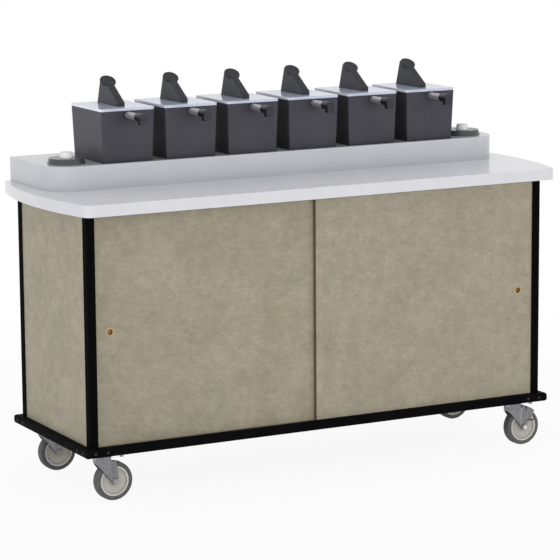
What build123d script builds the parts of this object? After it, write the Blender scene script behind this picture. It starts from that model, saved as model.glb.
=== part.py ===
from build123d import *
import math
import os

# A mobile condiment cart. Millimetres, +X along its length, +Y to its back, +Z up.
# The origin is on the floor, under the middle of the worktop's outline.

# Worktop
worktop_length = 1794.0
worktop_depth = 668.0
worktop_thickness = 38.0
worktop_end_bow = 46.0
worktop_corner_radius = 30.0
worktop_edge_radius = 2.0
overhang_side = 66.0
overhang_front = 59.0
overhang_back = 61.0

# Cabinet
body_height = 761.0
deck_thickness = 20.0
panel_thickness = 18.0
back_thickness = 9.0
post_width = 28.4
post_thickness = 3.0
cleat_width = 18.0
cleat_height = 30.0
shelf_thickness = 18.0
shelf_height = 362.0
shelf_setback = 8.0
shelf_clearance = 1.0
support_length = 14.0
support_width = 12.0
support_thickness = 3.0
support_peg_radius = 2.5
support_peg_length = 7.0
support_inset = 90.0
support_hole_clearance = 0.1

# Bumper
bumper_overhang = 22.0
bumper_height = 29.0
bumper_drop = 3.0
bumper_edge_radius = 8.0
bumper_screw_inset = 31.0
bumper_screw_spacing = 43.0
screw_head_radius = 4.5
screw_head_height = 2.2
screw_shank_radius = 2.2
screw_bite = 12.0
screw_hole_spare = 1.0
screw_hole_clearance = 0.3

# Doors and tracks
door_thickness = 12.0
door_overlap = 49.0
door_clearance = 1.0
door_glide_gap = 0.5
door_lift_gap = 5.5
track_web = 1.5
track_rib = 3.0
lower_track_height = 6.0
upper_track_height = 10.0
track_end_gap = 0.5
pull_inset = 54.6
pull_height = 363.0
pull_flange_radius = 13.8
pull_flange_thickness = 0.8
pull_recess_radius = 10.0
pull_recess_depth = 8.0
pull_wall = 1.0
pull_hole_clearance = 0.2

# Casters
wheel_diameter = 125.0
tyre_thickness = 14.0
tyre_width = 32.0
tyre_shoulder = 6.0
hub_rim_thickness = 6.0
hub_rim_width = 30.0
hub_web_thickness = 22.0
hub_boss_radius = 12.0
hub_boss_width = 36.0
axle_radius = 6.0
running_clearance = 0.05
axle_head_radius = 11.0
axle_head_height = 4.0
axle_dome_radius = 6.5
axle_dome_height = 2.5
axle_end = 2.0
axle_hole_clearance = 0.1
fork_side_gap = 3.0
fork_thickness = 3.2
fork_wheel_gap = 14.0
fork_toe_radius = 10.5
fork_crown_front = 38.0
fork_skirt_height = 16.0
fork_strip_start = 12.5
fork_strip_end = 31.0
fork_strip_drop = 15.5
fork_strip_recess = 1.2
crown_thickness = 6.0
swivel_height = 8.0
swivel_gap = 0.3
race_radius = 22.0
upper_race_height = 4.0
king_pin_radius = 5.0
king_pin_gap = 1.0
plate_length = 114.0
plate_width = 80.0
plate_thickness = 5.0
plate_corner_radius = 8.0
caster_trail = 27.0
caster_inset_x = 67.0
caster_inset_front = 43.0
caster_inset_back = 57.0
caster_bolt_radius = 4.0
caster_bolt_spacing_x = 92.0
caster_bolt_spacing_y = 58.0
caster_bolt_head_radius = 7.0
caster_bolt_head_height = 10.0
caster_bolt_bite = 11.0
caster_bolt_hole_spare = 1.0
caster_bolt_clearance = 0.3

# Brake covers
brake_pivot_x = 26.0
brake_pivot_z = 85.0
brake_pin_radius = 3.0
brake_side_gap = 0.4
cheek_thickness = 2.0
cheek_back = 15.0
cheek_top = 139.0
cheek_bottom = 79.0
cheek_toe_x = 27.0
cheek_heel_x = 43.0
cheek_heel_z = 85.0
cheek_nose_x = 60.0
cheek_nose_z = 104.5
cover_thickness = 2.0
cover_back_gap = 9.0
cover_back_angle = 81.0
cover_front_gap = 4.2
cover_front_angle = 55.0
notch_x = 32.0
notch_top = 135.5
notch_width = 12.5
notch_depth = 17.0
tab_x = 38.0
tab_z = 83.5
tab_length = 28.0
tab_height = 3.5
tab_proud = 1.5

# Plinth
plinth_length = 1668.0
plinth_depth = 346.0
plinth_height = 79.0
plinth_setback = 312.0
plinth_front_radius = 95.0
plinth_back_radius = 4.0
plinth_wall = 15.0
plinth_edge_radius = 2.0

# Dispenser vessels
dispenser_count = 6
dispenser_pitch = 224.5
vessel_setback = 18.0
vessel_width = 174.0
vessel_depth = 225.5
vessel_height = 166.0
vessel_draft = 5.8
vessel_corner_radius = 3.0
vessel_wall = 3.5
vessel_floor = 4.0

# Lids
lid_overhang = 1.0
lid_corner_radius = 7.0
lid_thickness = 8.5
lid_edge_radius = 1.5
lip_height = 8.0
lip_wall = 3.0
lip_clearance = 1.0
lid_tab_clearance = 0.4
lid_tab_rise = 6.0

# Press handles
fin_setback = 50.0
fin_length = 160.0
fin_width = 26.0
fin_skirt = 2.0
fin_front_height = 12.5
fin_slope = 32.5
fin_rear_lean = 18.0
fin_peak_cut = 16.0
fin_edge_radius = 3.0
fin_slot_gap = 1.0
pad_distance = 99.5
pad_radius = 26.5
pad_thickness = 10.0
pad_proud = 1.0
pad_dish_radius = 70.0
pad_dish_depth = 2.5
pad_edge_radius = 4.0
rod_radius = 6.0
piston_thickness = 10.0
piston_clearance = 0.3
piston_rest_gap = 4.0
press_stroke = 45.0

# Pumps
pump_floor_gap = 20.0
pump_headroom = 15.0
pump_radius = 22.0
pump_wall = 3.0
pump_cap = 4.0
strap_thickness = 3.0
strap_width = 30.0
tube_radius = 11.0
tube_wall = 1.5
tube_bend_radius = 24.0
tube_drop = 14.0
tube_notch_gap = 1.0
riser_gap = 7.0
outlet_rise = 18.0
spout_reach = 120.0
spout_depth = 46.0
spout_collar_radius = 13.5
spout_socket_depth = 12.0
spout_socket_clearance = 0.2
spout_block_width = 27.0
spout_block_depth = 18.0
spout_block_rise = 13.5
spout_block_drop = 22.0
spout_shoulder_radius = 13.0
spout_edge_radius = 2.0
spout_bore_radius = 6.0
spout_outlet_radius = 5.0

# Cup dispensers
cup_inset_x = 93.0
cup_setback = 98.0
collar_base_radius = 61.5
collar_top_radius = 55.5
collar_height = 18.0
collar_edge_radius = 1.5
cup_bore_radius = 25.0
cup_tube_wall = 3.0
cup_tube_clearance = 0.5
cup_rim_radius = 24.0
cup_base_radius = 18.5
cup_height = 30.0
cup_wall = 1.0
cup_pitch = 8.0
cup_count = 8
cup_show = 18.0
follower_clearance = 0.08
follower_thickness = 4.0

# How far a cutter passes the face it cuts, and the least radius of an inner corner
overcut = 1.0
least_radius = 1.0

# Levels
wheel_radius = wheel_diameter / 2
crown_bottom = wheel_diameter + fork_wheel_gap
crown_top = crown_bottom + crown_thickness
plate_bottom = crown_top + swivel_height
deck_bottom = plate_bottom + plate_thickness
deck_top = deck_bottom + deck_thickness
bumper_bottom = deck_bottom - bumper_drop
bumper_top = bumper_bottom + bumper_height
worktop_bottom = deck_bottom + body_height
worktop_top = worktop_bottom + worktop_thickness
shelf_bottom = deck_top + shelf_height
plinth_top = worktop_top + plinth_height
vessel_top = plinth_top + vessel_height
lid_top = vessel_top + lid_thickness
fin_bottom = vessel_top - fin_skirt
tube_level = vessel_top - tube_drop
collar_top = plinth_top + collar_height

# Outlines in plan
worktop_front = -worktop_depth / 2
worktop_back = worktop_depth / 2
cabinet_half = worktop_length / 2 - overhang_side
cabinet_front = worktop_front + overhang_front
cabinet_back = worktop_back - overhang_back
cabinet_middle = (cabinet_front + cabinet_back) / 2
panel_outer = cabinet_half - post_thickness
panel_inner = panel_outer - panel_thickness
post_inner = cabinet_half - post_width
panel_front = cabinet_front + post_thickness
panel_back = cabinet_back - post_thickness
back_inner = panel_back - back_thickness

# Door grooves, from the front rib backwards
front_door_face = cabinet_front + track_rib + door_clearance
middle_rib = front_door_face + door_thickness + door_clearance
rear_door_face = middle_rib + track_rib + door_clearance
rear_rib = rear_door_face + door_thickness + door_clearance
track_back = rear_rib + track_rib
door_bottom = deck_top + track_web + door_glide_gap
door_top = worktop_bottom - track_web - door_lift_gap
door_end = panel_inner - door_clearance
pull_x = post_inner - pull_inset
pull_z = door_bottom + pull_height
shelf_front = track_back + shelf_setback
shelf_back = back_inner - shelf_clearance

# Casters
caster_x = cabinet_half - caster_inset_x
caster_y_front = cabinet_front + caster_inset_front
caster_y_back = cabinet_back - caster_inset_back
fork_inner = tyre_width / 2 + fork_side_gap
strip_outer = fork_inner + fork_thickness
fork_outer = strip_outer + fork_strip_recess
fork_back = caster_trail + fork_toe_radius + overcut

# Dispensers, measured from the middle of a vessel in plan
plinth_front = worktop_front + plinth_setback
plinth_middle = plinth_front + plinth_depth / 2
vessel_front = -vessel_depth / 2
vessel_middle_y = plinth_front + vessel_setback - vessel_front
vessel_top_front = vessel_front - vessel_draft
fin_front = vessel_top_front + fin_setback
fin_back = fin_front + fin_length
fin_middle = (fin_front + fin_back) / 2
pump_top = fin_bottom - press_stroke - pump_headroom
pump_bottom = plinth_top + vessel_floor + pump_floor_gap
riser_y = fin_front - riser_gap - tube_radius
spout_front = vessel_top_front - spout_reach
spout_back = spout_front + spout_depth
cup_x = plinth_length / 2 - cup_inset_x
cup_y = plinth_front + cup_setback
stack_top = collar_top + cup_show
stack_bottom = stack_top - cup_height - (cup_count - 1) * cup_pitch
follower_radius = cup_bore_radius - follower_clearance

SIDES = {"left": -1, "right": 1}
CASTERS = {
    "front_left": (-caster_x, caster_y_front),
    "front_right": (caster_x, caster_y_front),
    "rear_left": (-caster_x, caster_y_back),
    "rear_right": (caster_x, caster_y_back),
}
BRAKED = ("front_right", "rear_right")


def block(x, y, z):
    """Box between two limits on each axis."""
    size = Box(x[1] - x[0], y[1] - y[0], z[1] - z[0])
    return Pos((x[0] + x[1]) / 2, (y[0] + y[1]) / 2, (z[0] + z[1]) / 2) * size


def upright(x, y, z, radius):
    """Upright cylinder between two levels."""
    return Pos(x, y, (z[0] + z[1]) / 2) * Cylinder(radius, z[1] - z[0])


def crosswise(x, y, z, radius):
    """Cylinder that lies front to back between two values of y."""
    return Pos(x, (y[0] + y[1]) / 2, z) * Rot(90, 0, 0) * Cylinder(radius, y[1] - y[0])


def plate_across(points, x):
    """Plate with an outline of (y, z) points, between two values of x."""
    outline = make_face(Polyline(*points, close=True))
    return extrude(Plane.YZ.offset(x[0]) * outline, amount=x[1] - x[0])


def plate_along(outline, y):
    """Plate with a sketched outline in (x, z), between two values of y."""
    return extrude(Plane.XZ.offset(-y[1]) * outline, amount=y[1] - y[0])


def turned(points):
    """Solid of revolution about the Z axis from an outline of (radius, z) points."""
    outline = make_face(Polyline(*points, close=True))
    return revolve(Plane.XZ * outline, Axis.Z)


def hexagon(radius, height):
    """Hexagonal head standing on the XY plane."""
    return extrude(RegularPolygon(radius, 6), amount=height)


# Base

def bolt_spots(caster):
    """Places of one caster plate's four bolts."""
    x, y = CASTERS[caster]
    half_x = caster_bolt_spacing_x / 2
    half_y = caster_bolt_spacing_y / 2
    return [(x + sx * half_x, y + sy * half_y) for sx in (-1, 1) for sy in (-1, 1)]


def base_deck():
    """Board drilled for the caster bolts below and the bumper screws in its edges."""
    deck = block((-cabinet_half, cabinet_half), (cabinet_front, cabinet_back), (deck_bottom, deck_top))
    hole = caster_bolt_radius + caster_bolt_clearance
    hole_top = deck_bottom + caster_bolt_bite + caster_bolt_hole_spare
    for caster in CASTERS:
        for x, y in bolt_spots(caster):
            deck -= upright(x, y, (deck_bottom, hole_top), hole)
    drill = Cylinder(screw_shank_radius + screw_hole_clearance,
                     2 * (bumper_overhang + screw_bite + screw_hole_spare))
    for place in bumper_screw_places():
        deck -= place * drill
    return [deck]


def bumper_screw_places():
    """Face centre, and rotation that turns a screw pointing along +Z to point out of the face."""
    reach_x = cabinet_half + bumper_overhang
    reach_front = cabinet_front - bumper_overhang
    reach_back = cabinet_back + bumper_overhang
    level = (bumper_bottom + bumper_top) / 2
    places = []
    for spot in (bumper_screw_inset, bumper_screw_inset + bumper_screw_spacing):
        for side in SIDES.values():
            places.append(((side * (reach_x - spot), reach_front, level), (90, 0, 0)))
            places.append(((side * (reach_x - spot), reach_back, level), (-90, 0, 0)))
            places.append(((side * reach_x, reach_front + spot, level), (0, side * 90, 0)))
            places.append(((side * reach_x, reach_back - spot, level), (0, side * 90, 0)))
    return [Location(place, turn) for place, turn in places]


def bumper():
    """Four bullnosed strips with mitred ends, drilled for their screws."""
    length = 2 * (cabinet_half + bumper_overhang)
    depth = cabinet_back - cabinet_front + 2 * bumper_overhang
    level = (bumper_bottom + bumper_top) / 2
    ring = Box(length, depth, bumper_height)
    rims = ring.faces().sort_by(Axis.Z)[0].edges() + ring.faces().sort_by(Axis.Z)[-1].edges()
    ring = Pos(0, cabinet_middle, level) * fillet(rims, bumper_edge_radius)
    through = (bumper_bottom - overcut, bumper_top + overcut)
    ring -= block((-cabinet_half, cabinet_half), (cabinet_front, cabinet_back), through)
    drill = Cylinder(screw_shank_radius + screw_hole_clearance, 2 * (bumper_overhang + overcut))
    for place in bumper_screw_places():
        ring -= place * drill
    inner = {"left": -cabinet_half, "right": cabinet_half, "front": cabinet_front, "back": cabinet_back}
    outer = {
        "left": inner["left"] - bumper_overhang,
        "right": inner["right"] + bumper_overhang,
        "front": inner["front"] - bumper_overhang,
        "back": inner["back"] + bumper_overhang,
    }
    strips = []
    for y_side in ("front", "back"):
        strips.append([(outer["left"], outer[y_side]), (outer["right"], outer[y_side]),
                       (inner["right"], inner[y_side]), (inner["left"], inner[y_side])])
    for x_side in ("left", "right"):
        strips.append([(outer[x_side], outer["front"]), (outer[x_side], outer["back"]),
                       (inner[x_side], inner["back"]), (inner[x_side], inner["front"])])
    pieces = []
    for corners in strips:
        outline = make_face(Polyline(*corners, close=True))
        wedge = extrude(Pos(0, 0, through[0]) * outline, amount=bumper_height + 2 * overcut)
        pieces.append(ring & wedge)
    return pieces


def bumper_screws():
    """Pan-head screws that go through the strips and into the deck."""
    dome = (screw_head_radius**2 + screw_head_height**2) / (2 * screw_head_height)
    cap = Pos(0, 0, screw_head_height - dome) * Sphere(dome)
    cap &= Pos(0, 0, screw_head_height / 2) * Cylinder(screw_head_radius, screw_head_height)
    shank = bumper_overhang + screw_bite
    screw = cap + Pos(0, 0, -shank / 2) * Cylinder(screw_shank_radius, shank)
    return [place * screw for place in bumper_screw_places()]


# Cabinet

def corner_posts():
    """Black angle trims on the four upright corners."""
    posts = []
    for side in SIDES.values():
        outer = side * cabinet_half
        long_leg = sorted((outer, outer - side * post_width))
        short_leg = sorted((outer, outer - side * post_thickness))
        for y, inward in ((cabinet_front, 1), (cabinet_back, -1)):
            face = block(long_leg, sorted((y, y + inward * post_thickness)), (deck_top, worktop_bottom))
            flank = block(short_leg, sorted((y, y + inward * post_width)), (deck_top, worktop_bottom))
            posts.append(face + flank)
    return posts


def support_places():
    """Where the shelf supports plug in, and which way each one faces."""
    front = shelf_front + support_inset
    back = shelf_back - support_inset
    places = []
    for y in (front, back):
        places.append(Location((-panel_inner, y, shelf_bottom), (0, 0, 0)))
        places.append(Location((panel_inner, y, shelf_bottom), (0, 0, 180)))
    for side in SIDES.values():
        places.append(Location((side * panel_inner / 3, back_inner, shelf_bottom), (0, 0, -90)))
    return places


def support_peg(radius):
    """Round peg that plugs into a panel, level with the middle of the support's plate."""
    level = -support_thickness - radius
    return Pos(-support_peg_length / 2, 0, level) * Rot(0, 90, 0) * Cylinder(radius, support_peg_length)


def shelf_supports():
    """Small flat-topped pegs under the shelf."""
    plate = block((0, support_length), (-support_width / 2, support_width / 2), (-support_thickness, 0))
    heel = block((0, support_thickness), (-support_width / 2, support_width / 2),
                 (-support_thickness - 2 * support_peg_radius, 0))
    support = plate + heel + support_peg(support_peg_radius)
    return [place * support for place in support_places()]


def support_holes():
    """Cutters for the holes that the shelf supports plug into."""
    level = -support_thickness - support_peg_radius
    radius = support_peg_radius + support_hole_clearance
    depth = support_peg_length + support_hole_clearance
    drill = Pos(-depth / 2, 0, level) * Rot(0, 90, 0) * Cylinder(radius, depth)
    return [place * drill for place in support_places()]


def side_panel(side):
    panel = block(sorted((side * panel_inner, side * panel_outer)), (panel_front, panel_back),
                  (deck_top, worktop_bottom))
    for hole in support_holes():
        panel -= hole
    return [panel]


def back_panel():
    panel = block((-panel_inner, panel_inner), (back_inner, panel_back), (deck_top, worktop_bottom))
    for hole in support_holes():
        panel -= hole
    return [panel]


def worktop_cleats():
    level = (worktop_bottom - cleat_height, worktop_bottom)
    cleats = []
    for side in SIDES.values():
        x = sorted((side * panel_inner, side * (panel_inner - cleat_width)))
        cleats.append(block(x, (shelf_front, back_inner), level))
    inner = panel_inner - cleat_width
    cleats.append(block((-inner, inner), (back_inner - cleat_width, back_inner), level))
    return cleats


def door_track(z_web, rise):
    """Extruded strip with a web and three ribs that make two grooves."""
    half = post_inner - track_end_gap
    web = sorted((z_web, z_web + math.copysign(track_web, rise)))
    ribs = sorted((z_web, z_web + rise))
    track = block((-half, half), (cabinet_front, track_back), web)
    for y in (cabinet_front, middle_rib, rear_rib):
        track += block((-half, half), (y, y + track_rib), ribs)
    return [track]


def storage_shelf():
    half = panel_inner - shelf_clearance
    return [block((-half, half), (shelf_front, shelf_back), (shelf_bottom, shelf_bottom + shelf_thickness))]


def sliding_door(side):
    """Right door in the front groove, left door in the rear one, each bored for its pull."""
    face = front_door_face if side > 0 else rear_door_face
    x = sorted((side * door_end, -side * door_overlap / 2))
    door = block(x, (face, face + door_thickness), (door_bottom, door_top))
    cup = pull_recess_radius + pull_wall + pull_hole_clearance
    depth = pull_recess_depth + pull_wall + pull_hole_clearance
    return [door - crosswise(side * pull_x, (face - overcut, face + depth), pull_z, cup)]


def door_pull(side):
    """Round flush pull: a flange on the door's face and a cup in its bore."""
    face = front_door_face if side > 0 else rear_door_face
    x = side * pull_x
    front = face - pull_flange_thickness
    flange = crosswise(x, (front, face), pull_z, pull_flange_radius)
    cup = crosswise(x, (face, face + pull_recess_depth + pull_wall), pull_z, pull_recess_radius + pull_wall)
    pull = fillet((flange + cup).edges().group_by(Axis.Y)[0], pull_flange_thickness / 2)
    return [pull - crosswise(x, (front - overcut, face + pull_recess_depth), pull_z, pull_recess_radius)]


# Worktop and plinth

def worktop():
    """Slab with straight front and back edges, bowed ends and small round corners."""
    half = worktop_length / 2
    corner = half - worktop_end_bow
    outline = make_face([
        Line((-corner, worktop_front), (corner, worktop_front)),
        ThreePointArc((corner, worktop_front), (half, 0), (corner, worktop_back)),
        Line((corner, worktop_back), (-corner, worktop_back)),
        ThreePointArc((-corner, worktop_back), (-half, 0), (-corner, worktop_front)),
    ])
    outline = fillet(outline.vertices(), worktop_corner_radius)
    slab = extrude(outline, amount=worktop_thickness)
    rims = slab.faces().sort_by(Axis.Z)[0].edges() + slab.faces().sort_by(Axis.Z)[-1].edges()
    return [Pos(0, 0, worktop_bottom) * fillet(rims, worktop_edge_radius)]


def plinth_outline(inset):
    """Box outline with large round front corners and small round back corners."""
    outline = Rectangle(plinth_length - 2 * inset, plinth_depth - 2 * inset)
    corners = outline.vertices().sort_by(Axis.Y)
    outline = fillet(corners[:2], max(plinth_front_radius - inset, least_radius))
    corners = outline.vertices().sort_by(Axis.Y)
    return fillet(corners[-2:], max(plinth_back_radius - inset, least_radius))


def plinth():
    """Raised box, open below, with a bore at each end for a cup tube."""
    shell = extrude(plinth_outline(0), amount=plinth_height)
    shell = fillet(shell.faces().sort_by(Axis.Z)[-1].edges(), plinth_edge_radius)
    shell -= extrude(plinth_outline(plinth_wall), amount=plinth_height - plinth_wall)
    shell = Pos(0, plinth_middle, worktop_top) * shell
    bore = cup_bore_radius + cup_tube_wall + cup_tube_clearance
    for side in SIDES.values():
        shell -= upright(side * cup_x, cup_y, (worktop_top, plinth_top + overcut), bore)
    return [shell]


# Casters

def caster_plates():
    """Top plates with the upper half of the swivel race pressed under them."""
    plates = []
    for caster, (x, y) in CASTERS.items():
        outline = RectangleRounded(plate_length, plate_width, plate_corner_radius)
        plate = Pos(x, y, plate_bottom) * extrude(outline, amount=plate_thickness)
        plate += upright(x, y, (plate_bottom - upper_race_height, plate_bottom), race_radius)
        bore = king_pin_radius + running_clearance
        plate -= upright(x, y, (crown_bottom, deck_bottom + overcut), bore)
        for bolt_x, bolt_y in bolt_spots(caster):
            hole = caster_bolt_radius + caster_bolt_clearance
            plate -= upright(bolt_x, bolt_y, (plate_bottom - overcut, deck_bottom + overcut), hole)
        plates.append(plate)
    return plates


def caster_bolts():
    """Hexagon bolts that hold the plates to the deck."""
    head = hexagon(caster_bolt_head_radius, caster_bolt_head_height)
    bolt = Pos(0, 0, plate_bottom - caster_bolt_head_height) * head
    bolt += upright(0, 0, (plate_bottom, deck_bottom + caster_bolt_bite), caster_bolt_radius)
    return [Pos(x, y, 0) * bolt for caster in CASTERS for x, y in bolt_spots(caster)]


def round_axle(radius, angle):
    """Point in (x, z) at a distance and an angle from a wheel's axle."""
    turn = math.radians(angle)
    return caster_trail + radius * math.cos(turn), wheel_radius + radius * math.sin(turn)


def fork_leg(braked):
    """Side plate of a fork in (x, z), measured from the swivel axis."""
    axle = Pos(caster_trail, wheel_radius)
    strip_top = crown_top - fork_strip_drop
    front = -fork_crown_front - overcut
    leg = make_face(Polyline(
        (front, crown_top),
        (fork_strip_start, crown_top),
        (fork_strip_start, strip_top),
        (fork_strip_end, strip_top),
        (caster_trail + fork_toe_radius, wheel_radius),
        (caster_trail - fork_toe_radius, wheel_radius),
        (front, crown_top - fork_skirt_height),
        close=True,
    ))
    leg += axle * Circle(fork_toe_radius)
    if braked:
        leg -= Pos(brake_pivot_x, brake_pivot_z) * Circle(brake_pin_radius + running_clearance)
    return leg - axle * Circle(axle_radius + axle_hole_clearance)


def fork_plan(half_width):
    """Outline of a fork in plan: round in front and straight behind."""
    middle = fork_outer - fork_crown_front
    straight = Pos((middle + fork_back) / 2, 0) * Rectangle(fork_back - middle, 2 * half_width)
    return straight + Pos(middle, 0) * Circle(half_width)


def fork_step():
    """Cutter for the pressed step between a leg's leading wing and its upright strip."""
    height = (wheel_radius + fork_toe_radius, crown_top + overcut)
    return block((fork_strip_start, fork_back), (strip_outer, fork_outer + overcut), height)


def caster_fork(caster):
    """Fork with its king pin, and the axle bolt and nut that carry the wheel."""
    x, y = CASTERS[caster]
    leg = fork_leg(caster in BRAKED)
    shell = extrude(fork_plan(fork_outer), amount=crown_top)
    shell -= extrude(fork_plan(fork_inner), amount=crown_bottom)
    fork = shell & plate_along(leg, (-fork_outer - overcut, fork_outer + overcut))
    fork -= fork_step()
    fork -= mirror(fork_step(), Plane.XZ)
    lower_race_top = plate_bottom - upper_race_height - swivel_gap
    fork += upright(0, 0, (crown_bottom, lower_race_top), race_radius)
    fork += upright(0, 0, (crown_top, deck_bottom - king_pin_gap), king_pin_radius)
    head = Rot(90, 0, 0) * hexagon(axle_head_radius, axle_head_height)
    reach = fork_outer + axle_head_height + axle_end
    bolt = Pos(caster_trail, -fork_outer, wheel_radius) * head
    dome_base = -fork_outer - axle_head_height
    bolt += crosswise(caster_trail, (dome_base - axle_dome_height, dome_base), wheel_radius, axle_dome_radius)
    bolt += crosswise(caster_trail, (-fork_outer, reach), wheel_radius, axle_radius)
    nut = Pos(caster_trail, fork_outer + axle_head_height, wheel_radius) * head
    nut -= crosswise(caster_trail, (0, reach), wheel_radius, axle_radius + axle_hole_clearance)
    return [Pos(x, y, 0) * piece for piece in (fork, bolt, nut)]


def caster_wheel(caster):
    """Hub with rim, web and boss, and the tyre round it."""
    x, y = CASTERS[caster]
    bore = axle_radius + running_clearance
    rim = wheel_radius - tyre_thickness
    half_boss = hub_boss_width / 2
    half_rim = hub_rim_width / 2
    half_web = hub_web_thickness / 2
    half_section = [
        (bore, half_boss),
        (hub_boss_radius, half_boss),
        (hub_boss_radius, half_web),
        (rim - hub_rim_thickness, half_web),
        (rim - hub_rim_thickness, half_rim),
        (rim, half_rim),
    ]
    mirrored = [(radius, -z) for radius, z in reversed(half_section)]
    hub = turned(half_section + mirrored)
    tyre = Cylinder(wheel_radius, tyre_width) - Cylinder(rim, tyre_width)
    shoulders = tyre.edges().filter_by(GeomType.CIRCLE).sort_by(SortBy.RADIUS)[-2:]
    tyre = fillet(shoulders, tyre_shoulder)
    place = Pos(x + caster_trail, y, wheel_radius) * Rot(90, 0, 0)
    return [place * hub, place * tyre]


def cover_points(inset):
    """Back, middle and front of the cover's top in (x, z), drawn in towards the axle."""
    middle_gap = (cover_back_gap + cover_front_gap) / 2
    middle_angle = (cover_back_angle + cover_front_angle) / 2
    gaps = (cover_back_gap, middle_gap, cover_front_gap)
    angles = (cover_back_angle, middle_angle, cover_front_angle)
    return [round_axle(wheel_radius + gap - inset, angle) for gap, angle in zip(gaps, angles)]


def brake_cover(caster):
    """Pressed cover over the tyre between two tabbed cheeks, on stub pins in the fork's legs."""
    x, y = CASTERS[caster]
    inner = strip_outer + brake_side_gap
    outer = inner + cheek_thickness
    top = cover_points(0)
    under = cover_points(cover_thickness)
    rest = Polyline(
        top[2],
        (cheek_nose_x, cheek_nose_z),
        (cheek_heel_x, cheek_heel_z),
        (cheek_toe_x, cheek_bottom),
        (cheek_back, cheek_bottom),
        (cheek_back, cheek_top),
        (notch_x - notch_width / 2, notch_top),
        (notch_x, notch_top - notch_depth),
        top[0],
    )
    cheek = make_face([ThreePointArc(*top), rest])
    plate = make_face([
        ThreePointArc(*top),
        Line(top[2], under[2]),
        ThreePointArc(*reversed(under)),
        Line(under[0], top[0]),
    ])
    cover = plate_along(plate, (-outer, outer))
    cover += plate_along(cheek, (-outer, -inner)) + plate_along(cheek, (inner, outer))
    for flank in ((-outer - tab_proud, -inner), (inner, outer + tab_proud)):
        cover += block((tab_x, tab_x + tab_length), flank, (tab_z, tab_z + tab_height))
    cover += crosswise(brake_pivot_x, (-inner, -fork_inner), brake_pivot_z, brake_pin_radius)
    cover += crosswise(brake_pivot_x, (fork_inner, inner), brake_pivot_z, brake_pin_radius)
    return [Pos(x, y, 0) * cover]


# Dispensers

def dispenser_x(number):
    """Middle of dispenser 1 to dispenser_count, from the left."""
    return (number - (dispenser_count + 1) / 2) * dispenser_pitch


def vessel_section(height, inset):
    """Outline of a vessel at a height above the plinth, drawn in by an inset."""
    growth = vessel_draft * height / vessel_height - inset
    radius = max(vessel_corner_radius - inset, least_radius)
    outline = RectangleRounded(vessel_width + 2 * growth, vessel_depth + 2 * growth, radius)
    return Pos(0, 0, plinth_top + height) * outline


def tube_notch(gap):
    """Cutter for a slot that is open at the top, so that a tube can be lifted out of it."""
    radius = tube_radius + gap
    y = (vessel_top_front - lid_overhang - overcut, riser_y)
    slot = block((-radius, radius), y, (tube_level, vessel_top + overcut))
    return crosswise(0, y, tube_level, radius) + slot


def tub():
    """Open drafted tub, before its slot is cut."""
    shell = loft([vessel_section(0, 0), vessel_section(vessel_height, 0)], ruled=True)
    mouth = vessel_section(vessel_height + overcut, vessel_wall)
    return shell - loft([vessel_section(vessel_floor, vessel_wall), mouth], ruled=True)


def vessel():
    """Tub with a slot in its front wall for the discharge tube."""
    return [tub() - tube_notch(tube_notch_gap)]


def lid_tab():
    """Piece of tub wall that hangs from the lid and closes the slot above the tube."""
    half = tube_radius + tube_notch_gap - lid_tab_clearance
    y = (vessel_top_front - overcut, riser_y)
    tab = tub() & block((-half, half), y, (tube_level + lid_tab_rise, vessel_top))
    return tab - crosswise(0, y, tube_level, tube_radius + lid_tab_clearance)


def lid():
    """Flat lid with a locating lip and a tab below, and a slot for the press handle."""
    width = vessel_width + 2 * (vessel_draft + lid_overhang)
    depth = vessel_depth + 2 * (vessel_draft + lid_overhang)
    plate = extrude(RectangleRounded(width, depth, lid_corner_radius), amount=lid_thickness)
    plate = Pos(0, 0, vessel_top) * fillet(plate.faces().sort_by(Axis.Z)[-1].edges(), lid_edge_radius)
    lip_inset = vessel_wall + lip_clearance
    lip = extrude(vessel_section(vessel_height - lip_height, lip_inset), amount=lip_height)
    lip -= extrude(vessel_section(vessel_height - lip_height, lip_inset + lip_wall), amount=lip_height)
    lip -= tube_notch(2 * tube_notch_gap)
    slot = fin_width / 2 + fin_slot_gap
    slot_y = (fin_front - fin_slot_gap, fin_back + fin_slot_gap)
    cover = plate + lip + lid_tab()
    return [cover - block((-slot, slot), slot_y, (fin_bottom, lid_top + overcut))]


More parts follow.
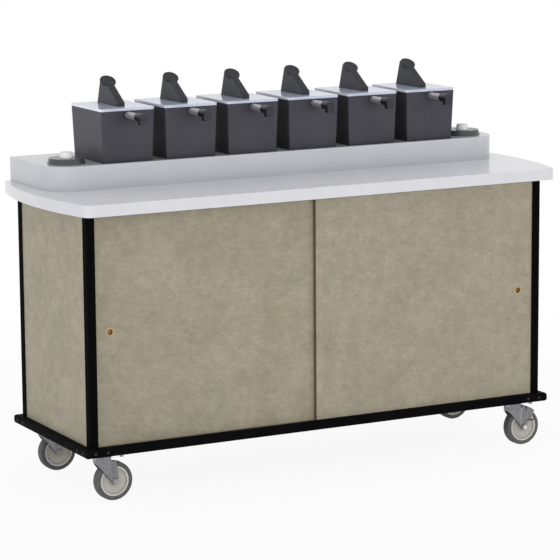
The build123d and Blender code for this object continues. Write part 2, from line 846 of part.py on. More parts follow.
def pump():
    """Pump hung under the lid on two straps, its discharge tube, and the spout on the tube's end."""
    cap = (pump_top - pump_cap, pump_top)
    strap_inner = pump_radius
    strap_outer = strap_inner + strap_thickness
    body = upright(0, fin_middle, (pump_bottom, pump_top), pump_radius)
    body += block((-strap_outer, strap_outer), (fin_middle - pump_radius, fin_middle + pump_radius), cap)
    for side in SIDES.values():
        x = sorted((side * strap_inner, side * strap_outer))
        body += block(x, (fin_middle - strap_width / 2, fin_middle + strap_width / 2), (pump_top, vessel_top))
    outlet_z = pump_bottom + outlet_rise
    tube_end = spout_back - spout_socket_depth
    route = FilletPolyline(
        (0, fin_middle, outlet_z),
        (0, riser_y, outlet_z),
        (0, riser_y, tube_level),
        (0, tube_end, tube_level),
        radius=tube_bend_radius,
    )
    start = Plane(origin=route @ 0, z_dir=route % 0)
    body += sweep(start * Circle(tube_radius), path=route)
    body -= sweep(start * Circle(tube_radius - tube_wall), path=route)
    bore_bottom = pump_bottom + pump_wall
    body -= upright(0, fin_middle, (bore_bottom, pump_top - pump_cap), pump_radius - pump_wall)
    body -= upright(0, fin_middle, (bore_bottom, pump_top + overcut), rod_radius + running_clearance)

    block_y = (spout_front, spout_front + spout_block_depth)
    drop = (tube_level - spout_block_drop, tube_level + spout_block_rise)
    face = Pos(0, sum(drop) / 2) * Rectangle(spout_block_width, drop[1] - drop[0])
    face = fillet(face.vertices().sort_by(Axis.Y)[-2:], spout_shoulder_radius)
    spout = plate_along(face, block_y)
    spout = fillet(spout.edges(), spout_edge_radius)
    bend_y = sum(block_y) / 2
    spout += crosswise(0, (bend_y, spout_back), tube_level, spout_collar_radius)
    socket = tube_radius + spout_socket_clearance
    spout -= crosswise(0, (tube_end, spout_back + overcut), tube_level, socket)
    spout -= crosswise(0, (bend_y, tube_end), tube_level, spout_bore_radius)
    spout -= upright(0, bend_y, (drop[0] - overcut, tube_level), spout_outlet_radius)
    return [body, spout]


def handle():
    """Fin with a sloping top and a dished round pad, and the rod and piston under it."""
    slope_angle = math.radians(fin_slope)
    lean_angle = math.radians(fin_rear_lean)
    slope = math.tan(slope_angle)
    lean = math.tan(lean_angle)
    front_top = lid_top + fin_front_height
    peak_y = (fin_back - lean * (fin_front_height - slope * fin_front)) / (1 + lean * slope)
    peak_z = front_top + slope * (peak_y - fin_front)
    fin = plate_across([
        (fin_front, fin_bottom),
        (fin_front, front_top),
        (peak_y - fin_peak_cut * math.cos(slope_angle), peak_z - fin_peak_cut * math.sin(slope_angle)),
        (peak_y + fin_peak_cut * math.sin(lean_angle), peak_z - fin_peak_cut * math.cos(lean_angle)),
        (fin_back, lid_top),
        (fin_back, fin_bottom),
    ], (-fin_width / 2, fin_width / 2))
    base_edges = fin.faces().sort_by(Axis.Z)[0].edges()
    fin = fillet(fin.edges() - base_edges, fin_edge_radius)

    pad = Cylinder(pad_radius, pad_thickness)
    pad = fillet(pad.edges().filter_by(GeomType.CIRCLE), pad_edge_radius)
    pad -= Pos(0, 0, pad_thickness / 2 - pad_dish_depth + pad_dish_radius) * Sphere(pad_dish_radius)
    pad_y = fin_front + pad_distance
    pad_place = Pos(0, pad_y, front_top + slope * pad_distance) * Rot(fin_slope, 0, 0)
    shape = fin + pad_place * Pos(0, 0, pad_proud - pad_thickness / 2) * pad

    piston_top = pump_top - pump_cap - piston_rest_gap
    rod = upright(0, fin_middle, (piston_top, fin_bottom), rod_radius)
    piston_radius = pump_radius - pump_wall - piston_clearance
    rod += upright(0, fin_middle, (piston_top - piston_thickness, piston_top), piston_radius)
    return [shape, rod]


# Cup dispensers

def cup_collars():
    """Coned collars that stand on the plinth round each cup bore."""
    cone = turned([
        (cup_bore_radius, plinth_top),
        (collar_base_radius, plinth_top),
        (collar_top_radius, collar_top),
        (cup_bore_radius, collar_top),
    ])
    cone = fillet(cone.faces().sort_by(Axis.Z)[-1].edges(), collar_edge_radius)
    return [Pos(side * cup_x, cup_y, 0) * cone for side in SIDES.values()]


def cup_tubes():
    """Tubes inside the plinth that guide the cups."""
    outer = upright(0, 0, (worktop_top, plinth_top), cup_bore_radius + cup_tube_wall)
    tube = outer - upright(0, 0, (worktop_top, plinth_top), cup_bore_radius)
    return [Pos(side * cup_x, cup_y, 0) * tube for side in SIDES.values()]


def cup_stack(side):
    """Nested cups, upside down, the top one standing out of the collar."""
    lean = (cup_rim_radius - cup_base_radius) / cup_height
    cup = turned([
        (0, cup_height - cup_wall),
        (0, cup_height),
        (cup_base_radius, cup_height),
        (cup_rim_radius, 0),
        (cup_rim_radius - cup_wall, 0),
        (cup_base_radius - cup_wall + lean * cup_wall, cup_height - cup_wall),
    ])
    places = [stack_bottom + cup_pitch * number for number in range(cup_count)]
    return [Pos(side * cup_x, cup_y, z) * cup for z in places]


def cup_follower(side):
    """Disc under the stack that the spring pushes up."""
    return [upright(side * cup_x, cup_y, (stack_bottom - follower_thickness, stack_bottom), follower_radius)]


def save(name, pieces):
    """Write one named piece, or a group of like pieces, as a STEP file."""
    solids = [solid for piece in pieces for solid in piece.solids()]
    export_step(solids[0] if len(solids) == 1 else Compound(solids), f"parts/{name}.step")


def main():
    os.makedirs("parts", exist_ok=True)
    save("base_deck", base_deck())
    save("bumper", bumper())
    save("bumper_screws", bumper_screws())
    save("corner_posts", corner_posts())
    save("back_panel", back_panel())
    save("worktop_cleats", worktop_cleats())
    save("lower_door_track", door_track(deck_top, lower_track_height))
    save("upper_door_track", door_track(worktop_bottom, -upper_track_height))
    save("storage_shelf", storage_shelf())
    save("shelf_supports", shelf_supports())
    save("worktop", worktop())
    save("plinth", plinth())
    save("caster_plates", caster_plates())
    save("caster_bolts", caster_bolts())
    save("cup_collars", cup_collars())
    save("cup_tubes", cup_tubes())
    for name, side in SIDES.items():
        save(f"{name}_side_panel", side_panel(side))
        save(f"{name}_door", sliding_door(side))
        save(f"{name}_door_pull", door_pull(side))
        save(f"{name}_cup_stack", cup_stack(side))
        save(f"{name}_cup_follower", cup_follower(side))
    for caster in CASTERS:
        save(f"{caster}_fork", caster_fork(caster))
        save(f"{caster}_wheel", caster_wheel(caster))
    for caster in BRAKED:
        save(f"{caster}_brake", brake_cover(caster))
    dispenser = {"vessel": vessel(), "lid": lid(), "pump": pump(), "handle": handle()}
    for number in range(1, dispenser_count + 1):
        place = Pos(dispenser_x(number), vessel_middle_y, 0)
        for name, pieces in dispenser.items():
            save(f"{name}_{number}", [place * piece for piece in pieces])


main()
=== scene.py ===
import math

import bpy
from mathutils import Matrix, Vector


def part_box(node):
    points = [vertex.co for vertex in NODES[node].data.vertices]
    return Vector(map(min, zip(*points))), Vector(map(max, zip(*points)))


# Looks of a mobile condiment cart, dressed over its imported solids. Metres, +X right, +Y back, +Z up.

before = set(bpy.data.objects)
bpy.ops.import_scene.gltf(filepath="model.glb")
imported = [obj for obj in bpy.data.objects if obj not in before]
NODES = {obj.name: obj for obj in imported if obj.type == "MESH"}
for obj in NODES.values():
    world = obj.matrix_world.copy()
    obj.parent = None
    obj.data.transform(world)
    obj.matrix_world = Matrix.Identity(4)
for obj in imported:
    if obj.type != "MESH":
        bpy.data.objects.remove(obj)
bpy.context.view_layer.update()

# Camera, worked out from the edges of the cart in the photograph
CAMERA_PLACE = (-4.08668, -7.72410, 2.14248)
CAMERA_YAW = 27.808
CAMERA_PITCH = 9.992
CAMERA_ROLL = -0.422
CAMERA_FOCAL_PIXELS = 2670.198
CAMERA_REACH = 60.0
IMAGE_PIXELS = 560
SENSOR_MM = 36.0

# Studio: softboxes with their place, size and power, then the sky and the floor
SOFTBOXES = {
    "front": ((0.6, -7.5, 1.1), (3.2, 1.8), 155.0),
    "left": ((-7.5, -0.8, 1.1), (3.2, 1.8), 109.0),
}
AIM = Vector((0.0, 0.0, 0.7))
HORIZON_LEVEL = 0.80
ZENITH_LEVEL = 0.66
FLOOR_RADIUS = 14.0
FLOOR_CLEAR_RADIUS = (1.6, 3.2)
FLOOR_SHADOW_SHARE = 0.08
FLOOR_COLOUR = (0.86, 0.86, 0.86)

# Places on the cart that the finishes follow
DISPENSERS = range(1, 7)
CASTERS = ("front_left", "front_right", "rear_left", "rear_right")
BRAKED = ("front_right", "rear_right")
RIM_RING_RADIUS = 0.0425
HUB_RADIUS = 0.0485
CASTER_TRAIL = 0.027
FORK_WING_END = 0.0125
FORK_STRIP_END = 0.031
AXLE_DOME_HEIGHT = 0.0025
AXLE_HEAD_HEIGHT = 0.004
BRAKE_TAB_START = 0.0375
BRAKE_TAB_LEVELS = (0.083, 0.0875)
PAINT_MARGIN = 0.0003
SPOUT_DEPTH = 0.046
SPOUT_BLOCK_DEPTH = 0.0175
TAB_DEPTH = 0.0042
FIN_SKIRT = 0.0025

# Share of a normal along an axis above which a face looks squarely, mainly or partly that way
SQUARELY = 0.9
MAINLY = 0.7
PARTLY = 0.3

WHITE = (1.0, 1.0, 1.0)


# Node helpers

class Finish:
    """One procedural material: a Principled shader with its texture nodes."""

    def __init__(self, name):
        self.material = bpy.data.materials.new(name)
        self.material.use_nodes = True
        self.tree = self.material.node_tree
        self.shader = self.tree.nodes["Principled BSDF"]
        self.place = self.add("ShaderNodeTexCoord").outputs["Object"]

    def add(self, kind, **values):
        node = self.tree.nodes.new(kind)
        for key, value in values.items():
            setattr(node, key, value)
        return node

    def link(self, start, end):
        self.tree.links.new(start, end)

    def stretched(self, scale, rotation=(0, 0, 0)):
        """Object coordinates stretched along the axes, for grain that runs one way."""
        mapping = self.add("ShaderNodeMapping")
        mapping.inputs["Scale"].default_value = scale
        mapping.inputs["Rotation"].default_value = rotation
        self.link(self.place, mapping.inputs["Vector"])
        return mapping.outputs["Vector"]

    def noise(self, scale, detail=3.0, roughness=0.55, vector=None):
        node = self.add("ShaderNodeTexNoise")
        node.inputs["Scale"].default_value = scale
        node.inputs["Detail"].default_value = detail
        node.inputs["Roughness"].default_value = roughness
        self.link(vector or self.place, node.inputs["Vector"])
        return node.outputs["Fac"]

    def cells(self, scale, vector=None):
        node = self.add("ShaderNodeTexVoronoi")
        node.inputs["Scale"].default_value = scale
        self.link(vector or self.place, node.inputs["Vector"])
        return node.outputs["Color"]

    def ramp(self, factor, stops):
        """Colour ramp through (position, colour) stops."""
        node = self.add("ShaderNodeValToRGB")
        points = node.color_ramp.elements
        while len(points) < len(stops):
            points.new(0.5)
        for point, (position, colour) in zip(points, stops):
            point.position = position
            point.color = (*colour, 1.0)
        self.link(factor, node.inputs["Fac"])
        return node.outputs["Color"]

    def mix(self, factor, first, second, blend="MIX"):
        """Blend two colours; the factor is a number or a socket."""
        node = self.add("ShaderNodeMix", data_type="RGBA", blend_type=blend)
        if isinstance(factor, (int, float)):
            node.inputs["Factor"].default_value = factor
        else:
            self.link(factor, node.inputs["Factor"])
        self.link(first, node.inputs["A"])
        self.link(second, node.inputs["B"])
        return node.outputs["Result"]

    def spread(self, factor, low, high, source=(0.3, 0.7)):
        """Map a noise value from its usual range to a new one."""
        node = self.add("ShaderNodeMapRange")
        node.inputs["From Min"].default_value = source[0]
        node.inputs["From Max"].default_value = source[1]
        node.inputs["To Min"].default_value = low
        node.inputs["To Max"].default_value = high
        self.link(factor, node.inputs["Value"])
        return node.outputs["Result"]

    def colour(self, socket):
        self.link(socket, self.shader.inputs["Base Color"])

    def roughness(self, socket):
        self.link(socket, self.shader.inputs["Roughness"])

    def corners(self, reach, darkest):
        """Painted shade: grey that is white in the open and darker in inside corners, within a reach, for
        multiplying into a base colour.
        """
        node = self.add("ShaderNodeAmbientOcclusion", samples=8)
        node.inputs["Distance"].default_value = reach
        return self.ramp(node.outputs["AO"], [(0.45, (darkest,) * 3), (1.0, WHITE)])

    def bump(self, height, strength, distance):
        node = self.add("ShaderNodeBump")
        node.inputs["Strength"].default_value = strength
        node.inputs["Distance"].default_value = distance
        self.link(height, node.inputs["Height"])
        self.link(node.outputs["Normal"], self.shader.inputs["Normal"])

    def set(self, **values):
        """Set shader sockets that are the same all over, by name with underscores for spaces."""
        for key, value in values.items():
            self.shader.inputs[key.replace("_", " ")].default_value = value


def shades(colour, low, high):
    """Two stops of one colour, darker and lighter."""
    return [
        (0.3, tuple(part * low for part in colour)),
        (0.7, tuple(part * high for part in colour)),
    ]


# Materials

def stone_laminate():
    """Decorative laminate with a trowelled stone print: warm clouds, ragged patches, strokes and grit."""
    finish = Finish("stone_laminate")
    level = finish.stretched((0.85, 0.85, 1.0))
    surface = finish.ramp(finish.noise(6.0, 5.0, 0.65, level), [
        (0.36, (0.313, 0.287, 0.210)),
        (0.50, (0.333, 0.301, 0.225)),
        (0.64, (0.357, 0.319, 0.245)),
    ])
    patches = finish.ramp(finish.noise(26.0, 8.0, 0.78, level), [
        (0.38, (0.90, 0.905, 0.90)),
        (0.50, WHITE),
        (0.62, (1.11, 1.10, 1.10)),
    ])
    tints = finish.ramp(finish.noise(7.0, 7.0, 0.68), [
        (0.32, (0.978, 1.011, 1.011)),
        (0.68, (1.022, 0.989, 0.989)),
    ])
    strokes = finish.noise(110.0, 6.0, 0.72, finish.stretched((0.4, 0.4, 1.0)))
    for layer in (
        patches,
        tints,
        finish.ramp(strokes, shades(WHITE, 0.90, 1.10)),
        finish.ramp(finish.noise(330.0, 3.0), shades(WHITE, 0.88, 1.12)),
    ):
        surface = finish.mix(1.0, surface, layer, "MULTIPLY")
    finish.colour(surface)
    finish.roughness(finish.spread(finish.noise(60.0), 0.46, 0.58))
    finish.bump(finish.noise(900.0, 2.0), 0.12, 0.0004)
    finish.set(Specular_IOR_Level=0.25)
    return finish.material


def plain_laminate(name, colour, corner_reach=0.0, darkest=1.0):
    """Glossy pale laminate with a faint haze; where a corner reach is given, painted shade darkens its
    inside corners within that reach.
    """
    finish = Finish(name)
    haze = finish.ramp(finish.noise(9.0, 4.0), shades(colour, 0.975, 1.015))
    grain = finish.ramp(finish.noise(650.0, 2.0), shades(WHITE, 0.985, 1.015))
    surface = finish.mix(1.0, haze, grain, "MULTIPLY")
    # Painted shade: inside corners are darkened by the occlusion grey.
    if corner_reach:
        surface = finish.mix(1.0, surface, finish.corners(corner_reach, darkest), "MULTIPLY")
    finish.colour(surface)
    finish.roughness(finish.spread(finish.noise(25.0, 3.0), 0.13, 0.19))
    finish.bump(finish.noise(1100.0, 2.0), 0.02, 0.0002)
    finish.set(Specular_IOR_Level=0.38)
    return finish.material


def board(name, colour):
    """Plywood with long grain along the cart."""
    finish = Finish(name)
    grain = finish.noise(18.0, 6.0, 0.65, finish.stretched((0.12, 1.0, 3.0)))
    finish.colour(finish.ramp(grain, shades(colour, 0.72, 1.2)))
    finish.roughness(finish.spread(grain, 0.55, 0.75))
    finish.bump(grain, 0.2, 0.0005)
    return finish.material


def black_trim():
    """Black anodised extrusion with fine lines along its length."""
    finish = Finish("black_trim")
    lines = finish.noise(700.0, 3.0, 0.6, finish.stretched((1.0, 1.0, 0.01)))
    finish.colour(finish.ramp(lines, shades((0.0036, 0.0033, 0.0037), 0.85, 1.2)))
    finish.roughness(finish.spread(lines, 0.50, 0.62))
    finish.bump(lines, 0.15, 0.0002)
    finish.set(Specular_IOR_Level=0.005)
    return finish.material


def vinyl():
    """Black bumper vinyl with a leathery grain and dusty scuffs."""
    finish = Finish("bumper_vinyl")
    scuffs = finish.ramp(finish.noise(14.0, 6.0, 0.7), shades((0.0036, 0.0034, 0.0040), 0.75, 1.5))
    finish.colour(scuffs)
    finish.roughness(finish.spread(finish.noise(40.0, 4.0), 0.42, 0.58))
    finish.bump(finish.noise(1300.0, 3.0), 0.22, 0.0004)
    finish.set(Specular_IOR_Level=0.008)
    return finish.material


def moulded(name, colour, rough, specular=0.5, corner_reach=0.0, darkest=1.0):
    """Moulded plastic with a fine sparked grain and slight changes of colour; where a corner reach is
    given, painted shade darkens its inside corners.
    """
    finish = Finish(name)
    drift_and_corner_shade = finish.ramp(finish.noise(11.0, 3.0), shades(colour, 0.92, 1.08))
    # Painted shade: inside corners are darkened by the occlusion grey.
    if corner_reach:
        drift_and_corner_shade = finish.mix(1.0, drift_and_corner_shade, finish.corners(corner_reach, darkest), "MULTIPLY")
    finish.colour(drift_and_corner_shade)
    finish.roughness(finish.spread(finish.noise(130.0, 3.0), rough - 0.04, rough + 0.05))
    finish.bump(finish.noise(1500.0, 2.0), 0.12, 0.0003)
    finish.set(Specular_IOR_Level=specular)
    return finish.material


def brushed_steel(name, colour, rough, stretch, metallic=1.0):
    """Steel with brush lines along the axis that is stretched least; less metallic where it is dull."""
    finish = Finish(name)
    lines = finish.noise(420.0, 4.0, 0.6, finish.stretched(stretch))
    finish.colour(finish.ramp(lines, shades(colour, 0.95, 1.04)))
    finish.roughness(finish.spread(lines, rough - 0.04, rough + 0.06))
    finish.bump(lines, 0.05, 0.0001)
    finish.set(Metallic=metallic)
    return finish.material


def zinc(name, colour, rough, metallic=0.85):
    """Zinc-plated steel with a soft spangle."""
    finish = Finish(name)
    spangle = finish.ramp(finish.cells(150.0), shades(colour, 0.9, 1.1))
    cloud = finish.ramp(finish.noise(60.0, 4.0), shades(WHITE, 0.9, 1.08))
    finish.colour(finish.mix(1.0, spangle, cloud, "MULTIPLY"))
    finish.roughness(finish.spread(finish.noise(90.0, 3.0), rough - 0.05, rough + 0.08))
    finish.bump(finish.noise(700.0, 2.0), 0.08, 0.0002)
    finish.set(Metallic=metallic)
    return finish.material


def rubber():
    """Grey wheel rubber with fine turned lines and dust."""
    finish = Finish("tyre_rubber")
    dust = finish.ramp(finish.noise(45.0, 5.0, 0.65), shades((0.100, 0.099, 0.099), 0.82, 1.18))
    finish.colour(dust)
    finish.roughness(finish.spread(finish.noise(200.0, 3.0), 0.62, 0.80))
    lines = finish.noise(900.0, 2.0, 0.5, finish.stretched((0.08, 1.0, 0.08)))
    finish.bump(lines, 0.25, 0.0005)
    finish.set(Specular_IOR_Level=0.35)
    return finish.material


def brass(name, colour, rough):
    """Satin brass with a little tarnish."""
    finish = Finish(name)
    tarnish = finish.ramp(finish.noise(160.0, 4.0), shades(colour, 0.85, 1.1))
    finish.colour(tarnish)
    finish.roughness(finish.spread(finish.noise(300.0, 3.0), rough - 0.06, rough + 0.08))
    finish.bump(finish.noise(900.0, 2.0), 0.06, 0.0001)
    finish.set(Metallic=0.55)
    return finish.material


def paper():
    """White paper cup stock with faint fibres."""
    finish = Finish("cup_paper")
    fibres = finish.ramp(finish.noise(500.0, 5.0, 0.7), shades((0.86, 0.87, 0.86), 0.97, 1.02))
    finish.colour(fibres)
    finish.roughness(finish.spread(finish.noise(300.0), 0.55, 0.7))
    finish.bump(finish.noise(800.0, 4.0), 0.1, 0.0002)
    return finish.material


MATERIALS = {
    "panel": stone_laminate(),
    "worktop": plain_laminate("worktop_laminate", (0.80, 0.80, 0.845)),
    # Worktop edges: a darker copy of the worktop laminate, as painted shade.
    "worktop_painted_shade_side": plain_laminate("worktop_side_painted_shade", (0.675, 0.675, 0.71)),
    # Plinth laminate with painted shade in its inside corners.
    "plinth": plain_laminate("plinth_laminate", (0.575, 0.58, 0.618), 0.12, 0.80),
    "melamine": plain_laminate("shelf_melamine", (0.62, 0.61, 0.58)),
    "deck": board("sealed_board", (0.014, 0.013, 0.012)),
    "edge": board("door_edge_band", (0.12, 0.083, 0.054)),
    "track": moulded("track_plastic", (0.31, 0.28, 0.21), 0.50, 0.25),
    "trim": black_trim(),
    "bumper": vinyl(),
    # Vessel plastic with painted shade in its inside corners.
    "vessel": moulded("vessel_plastic", (0.065, 0.063, 0.076), 0.36, 0.13, 0.06, 0.5),
    "handle": moulded("handle_plastic", (0.061, 0.062, 0.073), 0.48, 0.16),
    # Darker copy of the handle plastic, as painted shade on faces picked by their direction.
    "painted_shade_face": moulded("dark_face_painted_shade", (0.044, 0.044, 0.050), 0.50, 0.10),
    "spout": moulded("spout_plastic", (0.045, 0.044, 0.051), 0.40, 0.13),
    # Spout black: painted shade on the spout's sides and underside.
    "spout_painted_shade": moulded("spout_black_painted_shade", (0.006, 0.006, 0.007), 0.55, 0.25),
    "lid": brushed_steel("lid_steel", (0.59, 0.63, 0.76), 0.14, (1.0, 0.02, 1.0), 0.15),
    # Lid sides: a lighter plain colour than the lid steel, as painted light where neighbouring lids shade
    # them.
    "lid_painted_light_side": moulded("lid_side_painted_light", (0.80, 0.81, 0.92), 0.35),
    "steel": brushed_steel("tube_steel", (0.43, 0.43, 0.445), 0.42, (1.0, 0.03, 1.0), 0.60),
    "collar": moulded("collar_plastic", (0.064, 0.066, 0.074), 0.24, 0.42),
    "cup": paper(),
    "zinc": zinc("fork_zinc", (0.215, 0.215, 0.225), 0.42),
    # Lighter copy of the fork zinc, as a painted highlight on the fork's wing.
    "wing_zinc_painted_light": zinc("wing_zinc_painted_light", (0.237, 0.237, 0.253), 0.42),
    # Bright zinc for fasteners and the axle dome, also used as a painted highlight on the fork strip and
    # the brake cheek's rear edge.
    "fastener_and_highlight": zinc("bright_zinc_and_highlight", (0.70, 0.70, 0.72), 0.28),
    "bolt": zinc("bolt_zinc", (0.42, 0.42, 0.43), 0.40),
    "screw": zinc("screw_black", (0.011, 0.011, 0.012), 0.45, 0.2),
    "black_bolt": zinc("black_oxide", (0.030, 0.030, 0.031), 0.40, 0.3),
    "axle_cap": moulded("axle_cap_plastic", (0.34, 0.325, 0.31), 0.46, 0.3),
    # Hub plastic with painted shade in its inside corners.
    "hub": moulded("hub_plastic", (0.49, 0.465, 0.415), 0.46, 0.3, 0.03, 0.6),
    "rim": moulded("rim_plastic", (0.56, 0.55, 0.52), 0.40),
    "tyre": rubber(),
    "pull": brass("pull_brass", (0.54, 0.40, 0.24), 0.40),
    "recess": brass("recess_brass", (0.36, 0.22, 0.07), 0.42),
}


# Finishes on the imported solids

def dress(node, *names):
    """Give a node its materials; the first one covers it all."""
    slots = NODES[node].data.materials
    slots.clear()
    for name in names:
        slots.append(MATERIALS[name])
    for polygon in NODES[node].data.polygons:
        polygon.material_index = 0


def repaint(node, number, test):
    """Give another of the node's materials to the faces whose centre and normal pass a test."""
    for polygon in NODES[node].data.polygons:
        if test(polygon.center, polygon.normal):
            polygon.material_index = number


def middle(node):
    low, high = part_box(node)
    return (low + high) / 2


def dress_cabinet():
    for node in ("left_side_panel", "right_side_panel", "back_panel"):
        dress(node, "panel")
    for side in ("left", "right"):
        dress(f"{side}_door", "panel", "edge")
        repaint(f"{side}_door", 1, lambda centre, normal: abs(normal.x) > SQUARELY)
        pull = f"{side}_door_pull"
        dress(pull, "pull", "recess")
        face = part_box(f"{side}_door")[0].y
        repaint(pull, 1, lambda centre, normal: centre.y > face + PAINT_MARGIN)
    dress("corner_posts", "trim")
    dress("bumper", "bumper")
    dress("bumper_screws", "screw")
    dress("base_deck", "deck")
    dress("worktop_cleats", "deck")
    dress("storage_shelf", "melamine")
    dress("shelf_supports", "fastener_and_highlight")
    dress("upper_door_track", "trim")
    dress("lower_door_track", "trim", "track")
    front_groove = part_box("right_door")[0].y
    repaint("lower_door_track", 1, lambda centre, normal: centre.y > front_groove)
    dress("worktop", "worktop", "worktop_painted_shade_side")
    # Painted shade: the worktop's edge faces get the darker copy of its laminate.
    repaint("worktop", 1, lambda centre, normal: abs(normal.z) < MAINLY)
    dress("plinth", "plinth")
    dress("caster_plates", "zinc")
    dress("caster_bolts", "bolt")


def dress_caster(caster):
    fork = f"{caster}_fork"
    wheel = f"{caster}_wheel"
    axle = middle(wheel)
    swivel_x = axle.x - CASTER_TRAIL
    dome_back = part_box(fork)[0].y + AXLE_DOME_HEIGHT
    head_back = dome_back + AXLE_HEAD_HEIGHT
    wing_end = swivel_x + FORK_WING_END
    strip_end = swivel_x + FORK_STRIP_END

    # Faces of the fork strip that take the painted highlight.
    def strip_highlight(centre, normal):
        beside = wing_end + PAINT_MARGIN < centre.x < strip_end
        return beside and abs(normal.y) > SQUARELY and centre.z > BRAKE_TAB_LEVELS[0]

    def distance(centre):
        return math.hypot(centre.x - axle.x, centre.z - axle.z)

    dress(fork, "zinc", "wing_zinc_painted_light", "axle_cap", "fastener_and_highlight")
    # Painted highlight: the fork's wing gets the lighter zinc.
    repaint(fork, 1, lambda centre, normal: centre.x < wing_end)
    repaint(fork, 2, lambda centre, normal: centre.y < head_back - PAINT_MARGIN)
    dress(wheel, "hub", "rim", "tyre")
    repaint(wheel, 1, lambda centre, normal: distance(centre) > RIM_RING_RADIUS - PAINT_MARGIN)
    repaint(wheel, 2, lambda centre, normal: distance(centre) > HUB_RADIUS - PAINT_MARGIN)
    if caster in BRAKED:
        # Painted highlight: the fork strip beside the brake cheek gets the bright zinc.
        repaint(fork, 3, strip_highlight)
        repaint(fork, 3, lambda centre, normal: centre.y < dome_back - PAINT_MARGIN)
        dress_brake(caster, swivel_x)


def dress_brake(caster, swivel_x):
    brake = f"{caster}_brake"
    dress(brake, "zinc", "black_bolt", "fastener_and_highlight")
    low, high = BRAKE_TAB_LEVELS
    tab_start = swivel_x + BRAKE_TAB_START
    strip_end = swivel_x + FORK_STRIP_END
    repaint(brake, 1, lambda centre, normal: low < centre.z < high and centre.x > tab_start)
    # Painted highlight: the cheek's rear edge face gets the bright zinc.
    repaint(brake, 2, lambda centre, normal: normal.x < -SQUARELY and centre.x < strip_end)


def dress_dispenser(number):
    vessel = f"vessel_{number}"
    dress(vessel, "vessel")
    tub_low, tub_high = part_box(vessel)
    lid = f"lid_{number}"
    dress(lid, "lid", "vessel", "lid_painted_light_side")
    # Painted light: the lid's sideways faces get the lighter colour.
    repaint(lid, 2, lambda centre, normal: abs(normal.x) > MAINLY)
    tab_back = tub_low.y + TAB_DEPTH
    tab_top = tub_high.z - PAINT_MARGIN
    repaint(lid, 1, lambda centre, normal: centre.z < tab_top and centre.y < tab_back)
    pump = f"pump_{number}"
    dress(pump, "steel", "spout_painted_shade", "spout", "painted_shade_face", "vessel")
    spout_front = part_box(pump)[0].y
    spout_back = spout_front + SPOUT_DEPTH
    # Painted shade: the whole spout first gets black, which stays on its sides and underside.
    repaint(pump, 1, lambda centre, normal: centre.y < spout_back + PAINT_MARGIN)
    block_back = spout_front + SPOUT_BLOCK_DEPTH
    # The block's faces that don't face sideways get the spout plastic; its sideways faces stay black as
    # painted shade.
    repaint(pump, 2, lambda centre, normal: centre.y < block_back and abs(normal.x) < MAINLY)
    # Painted shade: the block's upward faces get the darker plastic.
    repaint(pump, 3, lambda centre, normal: centre.y < block_back and normal.z > PARTLY)
    # Painted light: the collar's upward faces get the lighter vessel plastic.
    repaint(pump, 4, lambda centre, normal: block_back < centre.y < spout_back and normal.z > PARTLY)
    handle = f"handle_{number}"
    dress(handle, "handle", "steel", "painted_shade_face")
    # Painted shade: the handle's front-facing faces get the darker plastic.
    repaint(handle, 2, lambda centre, normal: normal.y < -PARTLY)
    repaint(handle, 1, lambda centre, normal: centre.z < tub_high.z - FIN_SKIRT)


def dress_cups():
    dress("cup_collars", "collar")
    dress("cup_tubes", "collar")
    for side in ("left", "right"):
        dress(f"{side}_cup_stack", "cup")
        dress(f"{side}_cup_follower", "spout")


# Studio

def seen_directly(tree):
    """Socket that is 1 for what the camera and reflections see, and 0 for what lights the cart."""
    path = tree.nodes.new("ShaderNodeLightPath")
    seen = tree.nodes.new("ShaderNodeMath")
    seen.operation = "MAXIMUM"
    tree.links.new(path.outputs["Is Camera Ray"], seen.inputs[0])
    tree.links.new(path.outputs["Is Glossy Ray"], seen.inputs[1])
    return seen.outputs["Value"]


def floor_material():
    """Pale floor: mostly white to the camera, with a share left for the cart's shadow near it."""
    material = bpy.data.materials.new("studio_floor")
    material.use_nodes = True
    tree = material.node_tree
    nodes = tree.nodes
    nodes.clear()
    output = nodes.new("ShaderNodeOutputMaterial")
    paint = nodes.new("ShaderNodeBsdfDiffuse")
    paint.inputs["Color"].default_value = (*FLOOR_COLOUR, 1.0)
    glow = nodes.new("ShaderNodeEmission")
    blend = nodes.new("ShaderNodeMixShader")
    place = nodes.new("ShaderNodeTexCoord")
    length = nodes.new("ShaderNodeVectorMath")
    length.operation = "LENGTH"
    tree.links.new(place.outputs["Object"], length.inputs[0])
    fade = nodes.new("ShaderNodeMapRange")
    fade.interpolation_type = "SMOOTHSTEP"
    fade.inputs["From Min"].default_value = FLOOR_CLEAR_RADIUS[0]
    fade.inputs["From Max"].default_value = FLOOR_CLEAR_RADIUS[1]
    fade.inputs["To Min"].default_value = 1.0 - FLOOR_SHADOW_SHARE
    fade.inputs["To Max"].default_value = 1.0
    tree.links.new(length.outputs["Value"], fade.inputs["Value"])
    share = nodes.new("ShaderNodeMath")
    share.operation = "MULTIPLY"
    tree.links.new(seen_directly(tree), share.inputs[0])
    tree.links.new(fade.outputs["Result"], share.inputs[1])
    tree.links.new(share.outputs["Value"], blend.inputs["Fac"])
    tree.links.new(paint.outputs["BSDF"], blend.inputs[1])
    tree.links.new(glow.outputs["Emission"], blend.inputs[2])
    tree.links.new(blend.outputs["Shader"], output.inputs["Surface"])
    return material


def make_floor():
    bpy.ops.mesh.primitive_circle_add(vertices=96, radius=FLOOR_RADIUS, fill_type="NGON")
    floor = bpy.context.object
    floor.name = "studio_floor"
    floor.data.materials.append(floor_material())


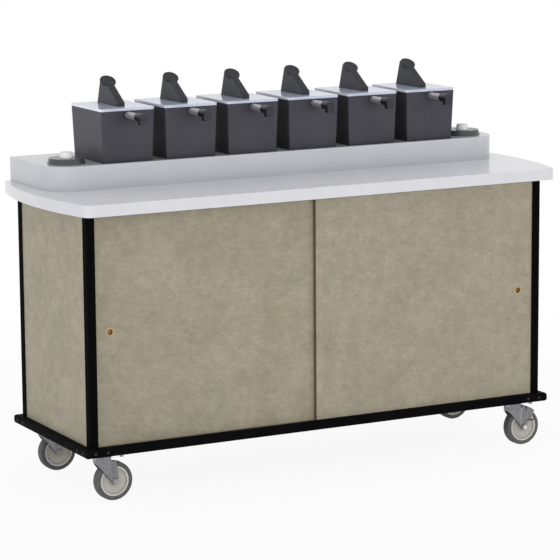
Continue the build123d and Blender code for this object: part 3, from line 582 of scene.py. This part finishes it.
def make_world():
    """Soft light, weaker from overhead, and white to the camera and in reflections."""
    world = bpy.data.worlds.new("studio")
    bpy.context.scene.world = world
    world.use_nodes = True
    tree = world.node_tree
    background = tree.nodes["Background"]
    background.inputs["Color"].default_value = (*WHITE, 1.0)
    place = tree.nodes.new("ShaderNodeTexCoord")
    height = tree.nodes.new("ShaderNodeSeparateXYZ")
    tree.links.new(place.outputs["Generated"], height.inputs["Vector"])
    sky = tree.nodes.new("ShaderNodeMapRange")
    sky.inputs["To Min"].default_value = HORIZON_LEVEL
    sky.inputs["To Max"].default_value = ZENITH_LEVEL
    tree.links.new(height.outputs["Z"], sky.inputs["Value"])
    level = tree.nodes.new("ShaderNodeMapRange")
    level.inputs["To Max"].default_value = 1.0
    tree.links.new(sky.outputs["Result"], level.inputs["To Min"])
    tree.links.new(seen_directly(tree), level.inputs["Value"])
    tree.links.new(level.outputs["Result"], background.inputs["Strength"])


def softbox(name, place, size, power):
    """Rectangular lamp that faces the cart and does not show in its gloss."""
    lamp = bpy.data.lights.new(name, "AREA")
    lamp.shape = "RECTANGLE"
    lamp.size, lamp.size_y = size
    lamp.energy = power
    box = bpy.data.objects.new(name, lamp)
    bpy.context.scene.collection.objects.link(box)
    box.location = place
    box.rotation_euler = (AIM - Vector(place)).to_track_quat("-Z", "Y").to_euler()
    box.visible_glossy = False


def make_camera():
    camera = bpy.data.cameras.new("photo_camera")
    camera.sensor_width = SENSOR_MM
    camera.lens = CAMERA_FOCAL_PIXELS * SENSOR_MM / IMAGE_PIXELS
    camera.clip_end = CAMERA_REACH
    yaw, pitch, roll = (math.radians(angle) for angle in (CAMERA_YAW, CAMERA_PITCH, CAMERA_ROLL))
    forward = Vector((math.sin(yaw) * math.cos(pitch), math.cos(yaw) * math.cos(pitch), -math.sin(pitch)))
    right = Vector((math.cos(yaw), -math.sin(yaw), 0.0))
    up = right.cross(forward)
    across = math.cos(roll) * right + math.sin(roll) * up
    upward = math.cos(roll) * up - math.sin(roll) * right
    turn = Matrix((across, upward, -forward)).transposed().to_4x4()
    holder = bpy.data.objects.new("photo_camera", camera)
    bpy.context.scene.collection.objects.link(holder)
    holder.matrix_world = Matrix.Translation(CAMERA_PLACE) @ turn
    bpy.context.scene.camera = holder


def make_studio():
    bpy.context.scene.view_settings.view_transform = "Standard"
    make_world()
    make_floor()
    make_camera()
    for name, (place, size, power) in SOFTBOXES.items():
        softbox(name, place, size, power)


dress_cabinet()
for caster_name in CASTERS:
    dress_caster(caster_name)
for dispenser in DISPENSERS:
    dress_dispenser(dispenser)
dress_cups()
make_studio()
